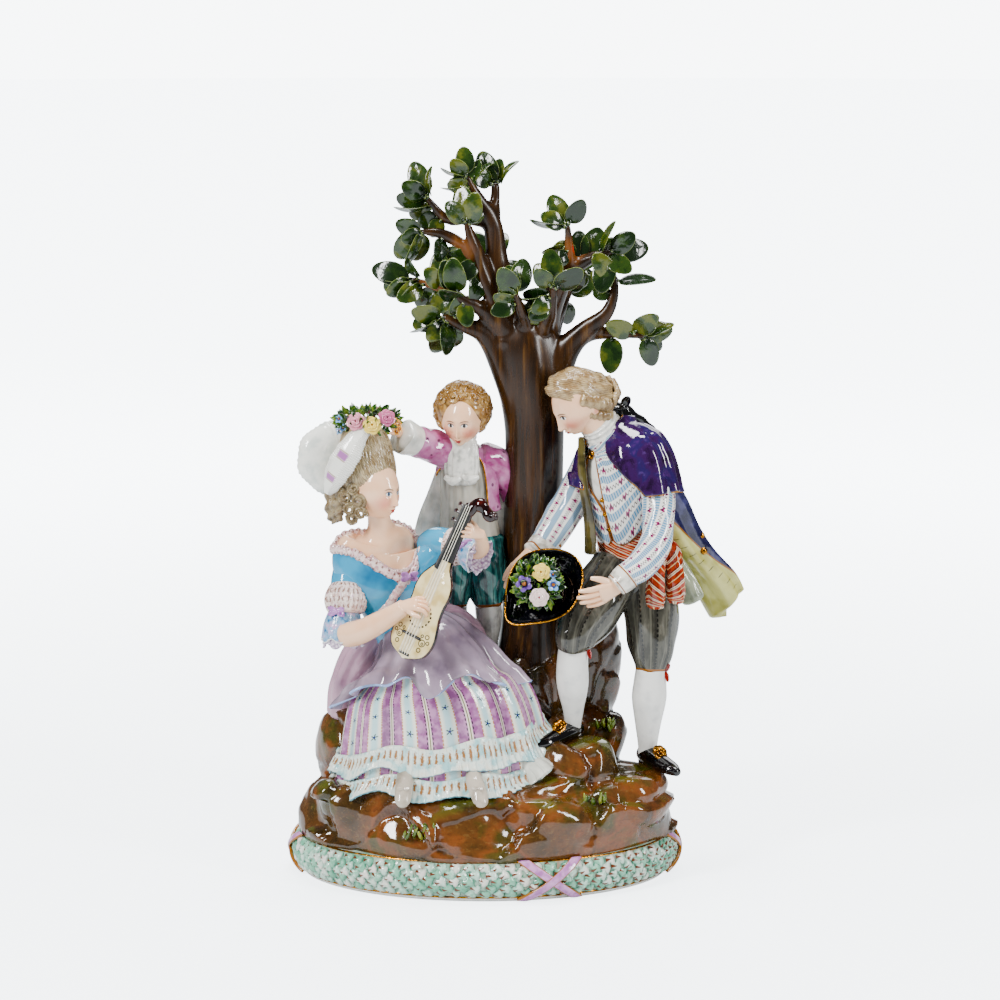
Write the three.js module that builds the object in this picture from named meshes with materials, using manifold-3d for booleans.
// A glazed porcelain figure group on an oval plinth, fired as one piece: a seated lady who plays a
// mandolin, a boy who sets a wreath on her cap, and a man who holds out a hat full of flowers, all
// under a leafy tree on a rocky mound. Millimetres, +Z up, the viewer looks along +Y, and the
// origin is the middle of the plinth's flat underside.
import * as THREE from "three";
import { mergeVertices } from "three/addons/utils/BufferGeometryUtils.js";
import Module from "manifold-3d";

// Driving dimensions.
const PLINTH_HALF_LENGTH = 88.8;
const PLINTH_HALF_WIDTH = 62;
const PLINTH_HEIGHT = 19.5;
const PLINTH_FOOT_INSET = 3.8;
const GARLAND_LEAVES = 18;
const GARLAND_RELIEF = 0.8;
const ROCK_BURIED_BELOW = 14;
const MOUND_ROUGHNESS = 0.05;
const MOUND_UNEVENNESS = 2;
const BOULDER_ROUGHNESS = 0.14;
const BOULDER_TOP = 0.8;
const LIMB_SIDES = 6;
const LIMB_DOME = 0.4;
const TWIG_SIDES = 5;
const BARK_FLUTES = 5;
const BARK_DEPTH = 0.07;
const LEAF_LENGTH = 12.6;
const LEAF_WIDTH = 8.6;
const LEAF_THICKNESS = 1.4;
const COAT_PLEATS = 5;
const BLOOM_RADIUS = 4.7;
const MANDOLIN_DEPTH = 7;
const HAT_RADIUS = 18.5;
const HAT_CORNER = 0.16;
const GOLDEN_ANGLE = Math.PI * (3 - Math.sqrt(5));

const v = (x, y, z) => new THREE.Vector3(x, y, z);
const UP = v(0, 0, 1);

const wasm = await Module();
wasm.setup();

// A closed three.js geometry as a solid that can be joined.
function solidOf(geometry) {
  const bare = geometry.clone();
  for (const name of Object.keys(bare.attributes)) {
    if (name !== "position") bare.deleteAttribute(name);
  }
  const merged = mergeVertices(bare);
  const mesh = new wasm.Mesh({
    numProp: 3,
    vertProperties: new Float32Array(merged.attributes.position.array),
    triVerts: new Uint32Array(merged.index.array),
  });
  return new wasm.Manifold(mesh);
}

// Moves every vertex of a geometry by a function of its place.
function shaped(geometry, move) {
  const place = geometry.attributes.position;
  const point = new THREE.Vector3();
  for (let i = 0; i < place.count; i++) {
    point.fromBufferAttribute(place, i);
    move(point);
    place.setXYZ(i, point.x, point.y, point.z);
  }
  return geometry;
}

// A smooth, repeatable unevenness between -1 and 1.
function rough(p, scale, seed) {
  const wave = Math.sin(p.x * scale + seed) + Math.sin(p.y * scale * 1.3 + seed * 2.1);
  return (wave + Math.sin(p.z * scale * 1.7 + seed * 3.7 + p.x * scale)) / 3;
}

// A limb swept through stations [x, y, z, radius, second radius], closed by low domes. The first
// radius lies across "side", and flute(angle, along) scales both.
function limb(stations, { sides = LIMB_SIDES, side = v(1, 0, 0), flute = () => 1 } = {}) {
  const spans = stations.length - 1;
  const path = new THREE.CatmullRomCurve3(stations.map((s) => v(s[0], s[1], s[2])));
  const outline = [new THREE.Vector2(0, 0)];
  stations.forEach((_, i) => outline.push(new THREE.Vector2(1, i)));
  outline.push(new THREE.Vector2(0, spans));
  return shaped(new THREE.LatheGeometry(outline, sides), (p) => {
    const station = stations[Math.round(p.y)];
    const t = p.y / spans;
    const along = path.getTangent(t);
    const across = side.clone().addScaledVector(along, -side.dot(along)).normalize();
    const third = across.clone().cross(along);
    const angle = Math.atan2(p.z, p.x);
    const reach = Math.hypot(p.x, p.z);
    const scale = reach * flute(angle, t);
    const dome = reach < 0.5 ? Math.sign(t - 0.5) * LIMB_DOME * station[3] : 0;
    p.copy(path.getPoint(t)).addScaledVector(along, dome);
    p.addScaledVector(across, Math.cos(angle) * scale * station[3]);
    p.addScaledVector(third, Math.sin(angle) * scale * (station[4] ?? station[3]));
  });
}

// An egg of three half-sizes, turned so that its own -Y looks along "facing".
function egg(centre, halves, facing, { columns = 8, rows = 6, carve = () => {} } = {}) {
  const geometry = new THREE.SphereGeometry(1, columns, rows).rotateX(Math.PI / 2);
  shaped(geometry, carve).scale(...halves);
  const back = facing.clone().negate().normalize();
  const right = back.clone().cross(UP).normalize();
  geometry.applyMatrix4(new THREE.Matrix4().makeBasis(right, back, right.clone().cross(back)));
  return geometry.translate(...centre);
}

// A stack of oval rings {z, x, y, a, b, fold} with "folds" pleats that deepen with fold. The lowest
// ring dips by "hem" in each pleat.
function drapedStack(rings, { sides, folds, phase = 0, hem = 0 }) {
  const outline = [new THREE.Vector2(0, 0)];
  rings.forEach((_, i) => outline.push(new THREE.Vector2(1, i)));
  outline.push(new THREE.Vector2(0, rings.length - 1));
  return shaped(new THREE.LatheGeometry(outline, sides), (p) => {
    const { z, x, y, a, b, fold } = rings[Math.round(p.y)];
    const angle = Math.atan2(p.z, p.x);
    const wave = Math.cos(folds * angle + phase);
    const scale = Math.hypot(p.x, p.z) * (1 + fold * wave);
    const dip = p.y < 0.5 ? hem * wave * scale : 0;
    p.set(x + a * scale * Math.cos(angle), y - b * scale * Math.sin(angle), z + dip);
  });
}

// A rock: a coarse ball with uneven faces and a flat top.
function boulder(x, y, z, a, b, c, seed) {
  return shaped(new THREE.SphereGeometry(1, 8, 5).rotateX(Math.PI / 2), (p) => {
    const swell = 1.04 + BOULDER_ROUGHNESS * rough(p, 2.6, seed);
    const height = Math.min(p.z * swell, BOULDER_TOP);
    p.set(x + a * p.x * swell, y + b * p.y * swell, Math.max(z + c * height, ROCK_BURIED_BELOW));
  });
}

// The oval plinth with its leaf garland in low relief.
function plinth() {
  const foot = PLINTH_HALF_LENGTH - PLINTH_FOOT_INSET;
  const profile = [
    [0, 0],
    [foot, 0],
    [PLINTH_HALF_LENGTH, 5.5],
    [PLINTH_HALF_LENGTH, 14],
    [foot, PLINTH_HEIGHT],
    [0, PLINTH_HEIGHT],
  ].map(([r, z]) => new THREE.Vector2(r, z));
  const narrow = PLINTH_HALF_WIDTH / PLINTH_HALF_LENGTH;
  return shaped(new THREE.LatheGeometry(profile, GARLAND_LEAVES * 2), (p) => {
    const upper = p.y > PLINTH_HEIGHT / 2;
    const edge = Math.round((Math.atan2(p.z, p.x) / Math.PI) * GARLAND_LEAVES) + (upper ? 1 : 0);
    const garland = p.y > 0 && p.y < PLINTH_HEIGHT && edge % 2 !== 0;
    const raised = garland ? 1 + GARLAND_RELIEF / PLINTH_HALF_LENGTH : 1;
    p.set(p.x * raised, -p.z * raised * narrow, p.y);
  });
}

// The mound: a rough drum [z, half-length, half-width], and boulders [x, y, z, half-sizes, seed].
function rocks() {
  const drum = [[14, 80, 54], [22, 83, 57], [36, 81, 55], [49, 68, 46]];
  const rings = drum.map(([z, a, b]) => ({ z, x: 0, y: 0, a, b, fold: 0.02 }));
  const core = shaped(drapedStack(rings, { sides: 18, folds: 7 }), (p) => {
    const swell = 1 + MOUND_ROUGHNESS * rough(p, 0.09, 4);
    const level = p.z + MOUND_UNEVENNESS * rough(p, 0.12, 9);
    p.set(p.x * swell, p.y * swell, Math.max(level, ROCK_BURIED_BELOW));
  });
  return [
    core,
    boulder(-62, -22, 36, 17, 17, 14, 2),
    boulder(24, -42, 34, 26, 12, 14, 5),
    boulder(64, -12, 37, 21, 24, 15, 6),
    boulder(40, -18, 50, 20, 14, 17, 7),
    boulder(55, 12, 59, 8.5, 9, 20, 8),
    boulder(-60, 6, 54, 16, 20, 28, 9),
    boulder(-32, 12, 62, 30, 22, 40, 10),
    boulder(20, 11, 74, 17, 15, 32, 12),
    boulder(-4, 20, 62, 16, 16, 34, 11),
    boulder(45, 22, 84, 17, 17, 40, 13),
    boulder(6, 35, 41, 60, 17, 26, 14),
  ];
}

// Limbs and twigs: stations [x, y, z, radius], with "leaves" of them from "start" to the tip.
const BRANCHES = [
  { leaves: 4, start: 0.55,
    path: [[11, 17, 222, 8], [4, 13.5, 242, 5.4], [-8, 10, 250, 3.4], [-18, 7, 254, 1.8]] },
  { leaves: 2, start: 0.8, path: [[12, 16, 246, 7], [-1, 10, 259, 4], [-13, 5, 265, 1.8]] },
  { leaves: 4, start: 0.36, path: [[-7, 8, 260, 2.8], [-20, 8.5, 269, 2.2], [-32, 10, 271, 1.4]] },
  { leaves: 5, start: 0.7,
    path: [[13, 17, 246, 10], [7, 17, 274, 6], [3, 16, 298, 4.6], [-8, 13, 318, 1.6]] },
  { leaves: 2, start: 0.8, path: [[3.5, 17, 294, 3.6], [4.7, 18, 313, 1.8]] },
  { leaves: 2, start: 0.7, path: [[11, 14, 250, 6], [-1, 11, 276, 4.4], [-7, 7, 296, 1.8]] },
  { leaves: 3, start: 0.45, path: [[-2, 11, 281, 3.2], [-14, 12, 290, 2.8], [-27, 11, 293, 1.6]] },
  { leaves: 3, start: 0.6, path: [[3, 16, 297, 3.4], [-14, 16, 299, 2.8], [-25, 15, 307, 1.6]] },
  { leaves: 4, start: 0.66,
    path: [[26, 18, 244, 9], [35, 16, 273, 4.8], [47, 13, 281, 3.2], [57, 11, 283, 1.8]] },
  { leaves: 3, start: 0.45, path: [[34, 15, 271, 3.4], [37.5, 10, 295, 1.6]] },
  { leaves: 2, start: 0.8, path: [[30, 20, 232, 5], [32, 25, 252, 2.8], [39, 29, 266, 1.8]] },
  { leaves: 3, start: 0.84,
    path: [[24, 18, 218, 9], [35, 16, 241, 5.4], [54, 11, 254, 3.2], [58, 10, 271, 1.6]] },
  { leaves: 3, start: 0.55, path: [[40, 15, 244, 4], [56, 15, 246.5, 3], [71, 12, 246, 1.6]] },
  { leaves: 2, start: 0.55, path: [[19, 12, 248, 5], [14, 1, 267, 1.8]] },
  { leaves: 3, start: 0.5, path: [[27, 12, 250, 4.6], [31, 1, 270, 1.8]] },
  { leaves: 3, start: 0.5, path: [[18, 24, 244, 6], [2, 43, 276, 2]] },
  { leaves: 3, start: 0.5, path: [[28, 25, 240, 6], [42, 46, 272, 2]] },
];

// The trunk, which flares into its limbs above and into the rock below.
function trunk() {
  const bark = (angle, t) => 1 + BARK_DEPTH * Math.cos(BARK_FLUTES * angle + 1.5 * t);
  const bole = limb([
    [20, 20, 40, 20], [21, 20, 84, 18], [22, 20, 112, 15], [21.5, 20, 140, 13.6],
    [22.5, 18.5, 205, 13.6], [21, 18, 230, 15.4], [18, 18, 247, 13.4], [18, 18, 257, 8],
  ], { sides: BARK_FLUTES * 2, flute: bark });
  return [bole, ...BRANCHES.map(({ path }) => limb(path, { sides: TWIG_SIDES, side: v(0, 1, 0) }))];
}

// One leaf: a thin blunt oval plate that grows from "at" in the direction "along".
function leaf(at, along, broadside, size) {
  const half = (LEAF_WIDTH / 2) * size;
  const length = LEAF_LENGTH * size;
  const outline = [[-0.1, 0], [0.4, -1], [0.97, -0.5], [0.97, 0.5], [0.4, 1]].map(([u, w]) =>
    new THREE.Vector2(u * length, w * half));
  const plate = new THREE.ExtrudeGeometry(new THREE.Shape(outline), {
    depth: LEAF_THICKNESS,
    bevelEnabled: false,
  });
  plate.translate(0, 0, -LEAF_THICKNESS / 2);
  const x = along.clone().normalize();
  const y = broadside.clone().cross(x).normalize();
  plate.applyMatrix4(new THREE.Matrix4().makeBasis(x, y, x.clone().cross(y)));
  return plate.translate(at.x, at.y, at.z);
}

// The leaves of one twig leave it in turn all round, lean more and more along it, and turn their
// broad sides to the front and back of the group.
function twigLeaves({ path, leaves, start }, turn) {
  const curve = new THREE.CatmullRomCurve3(path.map((s) => v(s[0], s[1], s[2])));
  return Array.from({ length: leaves }, (_, i) => {
    const near = i / (leaves - 1);
    const t = THREE.MathUtils.lerp(start, 1, near);
    const axis = curve.getTangent(t);
    const across = axis.clone().cross(v(0.2, 1, 0.1)).normalize();
    const ring = across.applyAxisAngle(axis, turn + i * GOLDEN_ANGLE);
    const lean = THREE.MathUtils.lerp(1.25, 0.3, near);
    const along = axis.clone().multiplyScalar(Math.cos(lean)).addScaledVector(ring, Math.sin(lean));
    const wave = turn + i * 2.3;
    const broadside = v(0.7 * Math.sin(wave), -1, 0.5 * Math.cos(wave));
    return leaf(curve.getPoint(t), along, broadside, 0.95 + 0.15 * Math.sin(wave));
  });
}

const leaves = () => BRANCHES.flatMap((branch, i) => twigLeaves(branch, i * 0.9));

// A head: narrower at the chin, with a nose on the side that it faces.
function head(centre, halves, facing) {
  const carve = (p) => {
    const jaw = 1 - 0.26 * THREE.MathUtils.smoothstep(-p.z, 0, 1);
    p.x *= jaw;
    p.y *= p.y > 0 ? jaw : 1;
    if (p.y < -0.9) p.y -= 0.1;
  };
  return egg(centre, halves, facing, { carve });
}

// Hair as an egg with raised locks.
function hair(centre, halves, facing, count, depth) {
  const carve = (p) => {
    const lock = Math.cos(count * Math.atan2(p.y, p.x)) * Math.cos(count * p.z);
    p.multiplyScalar(1 + depth * lock);
  };
  return egg(centre, halves, facing, { columns: 9, rows: 6, carve });
}

// Round blooms set in a spiral on a low dome.
function blooms([x, y, z], reach, count) {
  return Array.from({ length: count }, (_, i) => {
    const r = reach * Math.sqrt((i + 0.4) / count);
    const a = i * GOLDEN_ANGLE;
    const bloom = new THREE.IcosahedronGeometry(BLOOM_RADIUS, 0);
    return bloom.translate(x + r * Math.cos(a), y + r * Math.sin(a) * 0.8, z + 2 * (1 - r / reach));
  });
}

// The seated lady's dress: skirt, flounce, overskirt, the gown's train, bodice and sleeves. Her own
// right is the viewer's left.
function dress() {
  const skirts = [
    { z: 40, x: -21, y: -17, a: 51, b: 33, fold: 0.05 },
    { z: 50, x: -21, y: -17, a: 48.5, b: 31, fold: 0.04 },
    { z: 51, x: -21, y: -17, a: 50.5, b: 32.5, fold: 0.04 },
    { z: 83, x: -25, y: -17, a: 41, b: 28, fold: 0.03 },
    { z: 84, x: -25, y: -17, a: 44, b: 31, fold: 0.06 },
    { z: 93, x: -25, y: -17, a: 37, b: 30, fold: 0.04 },
    { z: 102, x: -26, y: -17, a: 27, b: 25, fold: 0.02 },
    { z: 112, x: -37, y: -12, a: 14, b: 12, fold: 0 },
  ];
  const train = [[-48, -6, 112, 9], [-60, -2, 98, 12], [-67, 0, 84, 10], [-71, 0, 74, 6]];
  const bodice = [
    [-38, -10, 102, 15, 12], [-39, -12, 112, 12.5, 10], [-42, -14, 128, 15, 11.5],
    [-43, -15, 143, 20, 12.5], [-45, -15, 152, 20, 9], [-46, -17, 160, 6, 6],
  ];
  const rightSleeve = [
    [-57, -15, 150, 7.5], [-60, -21, 138, 8.2], [-60.5, -28, 124, 8.2],
    [-61, -31, 114, 9.4], [-60, -33, 108, 10],
  ];
  const leftSleeve = [[-26, -13, 149, 8], [-14, -16, 146, 8.5], [-5, -20, 142, 9], [0, -23, 139, 9.5]];
  return [
    drapedStack(skirts, { sides: 28, folds: 7, phase: 0.6, hem: 2.4 }),
    limb(train),
    limb(bodice, { side: v(0.98, 0.17, 0), sides: 8 }),
    limb(rightSleeve),
    limb(leftSleeve, { side: UP }),
  ];
}

// The lady's head and limbs, her piled hair with a curl, the pleated cap and the wreath on top.
function lady() {
  const facing = v(0.77, -0.64, -0.05);
  const pleats = 8;
  const frill = (p) => p.multiplyScalar(1 + 0.06 * Math.cos(pleats * Math.atan2(p.z, p.x)));
  const rightArm = [
    [-60, -33, 114, 6], [-48, -41, 119, 5.2], [-33, -49, 128, 3.8],
    [-26, -51, 132, 5], [-21, -51.5, 133, 3],
  ];
  const leftArm = [
    [0, -22, 138, 6], [4, -28, 146, 4.6], [3, -34, 156, 3.8], [0, -38.5, 163, 5], [-5, -41, 166, 3.2],
  ];
  return [
    ...dress(),
    limb([[-46, -18, 156, 6], [-48, -20, 166, 5], [-49, -20, 174, 5]]),
    head([-48.5, -22, 181], [9.8, 11.6, 13], facing),
    hair([-53, -18, 190], [11.6, 12.6, 15], facing, 6, 0.02),
    egg([-67, -9, 190], [19, 9, 18.5], facing, { columns: pleats * 2, rows: 4, carve: frill }),
    limb([[-60, -15, 178, 5], [-64, -13, 166, 4], [-66, -12, 160, 2.5]]),
    limb(rightArm, { side: UP }),
    limb(leftArm),
    limb([[-35.5, -38, 47, 4.5], [-35.5, -50, 46, 5], [-36, -55, 44, 2.6]]),
    limb([[-5, -36, 48, 4.5], [-3, -48, 47, 5], [0, -53, 45, 2.6]]),
    egg([-52, -17, 209.5], [17, 14, 5], v(0, -1, 0), { rows: 4 }),
    ...blooms([-52, -19, 212], 13, 5),
  ];
}

// The mandolin: a pear body, a neck and a bent peg box, in its own plane and then set in place.
function mandolin() {
  const outline = new THREE.Shape();
  outline.moveTo(0, 0);
  outline.bezierCurveTo(15, -1, 14, 16, 10, 23);
  outline.bezierCurveTo(8.5, 28, 7, 34, 2.6, 41);
  outline.lineTo(-2.6, 41);
  outline.bezierCurveTo(-7, 34, -8.5, 28, -10, 23);
  outline.bezierCurveTo(-14, 16, -15, -1, 0, 0);
  const body = new THREE.ExtrudeGeometry(outline, {
    depth: MANDOLIN_DEPTH,
    bevelEnabled: false,
    curveSegments: 5,
  });
  body.translate(0, 0, -MANDOLIN_DEPTH);
  const neck = new THREE.BoxGeometry(5, 36, 4).translate(0, 56, -2);
  const pegBox = new THREE.BoxGeometry(6, 7, 13).rotateY(-0.9).translate(4.5, 74, -6);
  const bottom = v(-37.5, -48, 110.5);
  const along = v(-1, -42, 176).sub(bottom).normalize();
  const lean = v(-0.18, -1, 0.1);
  const front = lean.addScaledVector(along, -along.dot(lean)).normalize();
  const set = new THREE.Matrix4().makeBasis(along.clone().cross(front), along, front);
  set.setPosition(bottom);
  return [body, neck, pegBox].map((geometry) => geometry.applyMatrix4(set));
}

// The boy behind her, with one arm over her head and the other round the trunk.
function boy() {
  const facing = v(-0.22, -0.96, -0.2);
  const body = [
    [-8, 14, 138, 15, 9], [-9, 14, 152, 14, 8.5], [-9, 13, 168, 12.5, 9],
    [-9, 12, 182, 13.5, 9], [-10, 12, 190, 10, 7], [-10, 11, 200, 4.6],
  ];
  const coatTail = [[-24, 18, 150, 10, 5], [-20, 18, 164, 9, 6], [-14, 16, 184, 9, 6]];
  const raisedArm = [
    [-18, 11, 187, 7.5], [-29, 3, 190, 7.2], [-36, -2, 194, 8.5],
    [-42, -8, 199, 7.6], [-44, -11, 203, 3.6], [-45, -15, 209, 2.6],
  ];
  const leg = (hip, foot) => limb([
    [hip, 14, 142, 8.6], [foot, 14, 126, 8], [foot, 14, 117, 5.8], [foot, 15, 104, 5],
    [foot, 16, 82, 3.6],
  ]);
  return [
    limb(body),
    limb(coatTail),
    head([-10, 7.5, 209], [10.4, 11.2, 12.6], facing),
    hair([-10, 10.5, 213.5], [13.2, 12.6, 12.2], facing, 5, 0.06),
    limb(raisedArm, { side: UP }),
    limb([[-1, 13, 188, 7], [9, 17, 181, 7], [13, 23, 164, 5.6]]),
    leg(-14, -16),
    leg(0, 1.5),
  ];
}

// The man's body and the cape and coat over his back, its tail, and the ends of his sash.
function coatAndBody() {
  const across = v(0.78, -0.62, 0);
  const pleats = (angle) => 1 + 0.05 * Math.cos(COAT_PLEATS * angle);
  const body = [
    [70, 4, 130, 17, 12], [68, 4, 142, 15, 11], [65, 2, 156, 14, 11], [63, 0, 172, 15, 12],
    [60, 0, 186, 17, 11], [55, -3, 200, 7.4, 7], [48, -6, 212, 6, 6],
  ];
  const coat = [
    [58, 3, 204, 9, 8], [64, 5, 194, 19, 13], [70, 5, 182, 23, 15], [75, 7, 170, 20, 14],
    [83, 10, 154, 14, 11], [95, 15, 137, 15, 7], [110, 20, 116, 17, 4],
  ];
  const sash = [[73, -10, 152, 5], [78, -14, 138, 9, 6], [79, -15, 128, 9.4, 6], [78, -15, 120, 7, 4]];
  return [
    limb(body, { side: across, sides: 8 }),
    limb(coat, { side: across, sides: COAT_PLEATS * 2, flute: pleats }),
    limb([[88, 4, 140, 7, 3], [93, 2, 124, 8, 3]]),
    limb(sash, { side: across }),
  ];
}

// The man on the right, who bends forward with one foot on a boulder.
function man() {
  const facing = v(-0.82, -0.45, -0.32);
  const leftArm = [
    [72, -7, 195, 10], [78, -13, 184, 12.4], [81, -17, 173, 12.6], [80, -18, 170, 8.6],
    [77, -23, 157, 8.2], [68, -27, 147, 7.2], [60, -30, 140, 6.2],
  ];
  const rightArm = [
    [50, 10, 190, 9], [41, 8, 171, 8.4], [33, 1, 158, 7.6],
    [26, -4, 149, 6.2], [19, -11, 142, 4.6], [13, -16, 135, 2.8],
  ];
  const rightLeg = [
    [61, -1, 138, 12], [51, -12, 122, 11.6], [41.5, -20, 109, 8.6], [40, -18, 100, 7],
    [40.5, -16, 90, 7.2], [40.5, -12, 76, 4.6], [40.5, -11, 64, 4],
  ];
  const leftLeg = [
    [73, 3, 138, 13], [76, -1, 122, 13], [77, -5, 106, 10.6], [77, -6, 95, 7.4],
    [76, -5, 84, 8.2], [75.5, -2, 68, 5.4], [75.5, 0, 54, 4.3],
  ];
  const rightShoe = [[43, -7, 63, 4.6], [38, -13, 63, 5.2], [30, -22, 61, 4.4, 3.4], [24, -27, 60, 2]];
  const leftShoe = [[75, 4, 51, 4.6], [78, -3, 51, 5.2], [84, -12, 49, 4.4, 3.4], [88, -18, 48, 2]];
  return [
    ...coatAndBody(),
    head([41.5, -8.5, 216], [11, 13.6, 15], facing),
    hair([45, -5.5, 221], [13.4, 15.4, 13.4], facing, 5, 0.05),
    limb([[58, 1, 213, 3.4], [67, 7, 205, 4], [77, 12, 194, 2.4]], { sides: TWIG_SIDES }),
    limb(leftArm),
    limb([[61, -30, 141, 5], [50, -34, 135, 5.4, 4], [41, -37, 134, 2.8]], { side: UP }),
    limb(rightArm),
    limb(rightLeg),
    limb(leftLeg),
    limb(rightShoe, { side: v(-0.8, 0.6, 0) }),
    limb(leftShoe, { side: v(0.85, 0.5, 0) }),
  ];
}

// The hat he holds upside down, with three turned-up corners, and the flowers in it.
function hat() {
  const bowl = [[0, -9], [0.5, -8], [1, 2], [1, 4], [0, 4]];
  const profile = bowl.map(([r, z]) => new THREE.Vector2(r * HAT_RADIUS, z));
  const shell = shaped(new THREE.LatheGeometry(profile, 15), (p) => {
    const brim = Math.hypot(p.x, p.z) > 0.8 * HAT_RADIUS;
    const corner = brim ? Math.cos(3 * Math.atan2(p.z, p.x)) : 0;
    const out = 1 + HAT_CORNER * corner;
    p.set(p.x * out, -p.z * out, p.y + (brim ? 3 * (1 - corner) : 0));
  });
  const turn = new THREE.Matrix4().makeRotationFromEuler(new THREE.Euler(0.95, -0.35, 0.35));
  const pieces = [shell, ...blooms([0, 0, 5], 9, 4)];
  return pieces.map((geometry) => geometry.applyMatrix4(turn).translate(28.5, -26, 134));
}

const figures = [...lady(), ...mandolin(), ...boy(), ...man(), ...hat()];
const pieces = [plinth(), ...rocks(), ...trunk(), ...leaves(), ...figures];
const joined = wasm.Manifold.union(pieces.map(solidOf)).getMesh();

const geometry = new THREE.BufferGeometry();
geometry.setAttribute("position", new THREE.BufferAttribute(joined.vertProperties, 3));
geometry.setIndex(new THREE.BufferAttribute(joined.triVerts, 1));
geometry.computeVertexNormals();

const porcelain = new THREE.MeshStandardMaterial({ color: 0xd9d2c4, roughness: 0.12, metalness: 0 });
const figureGroup = new THREE.Mesh(geometry, porcelain);
figureGroup.name = "figure_group";

const part = new THREE.Group();
part.add(figureGroup);
export default part;
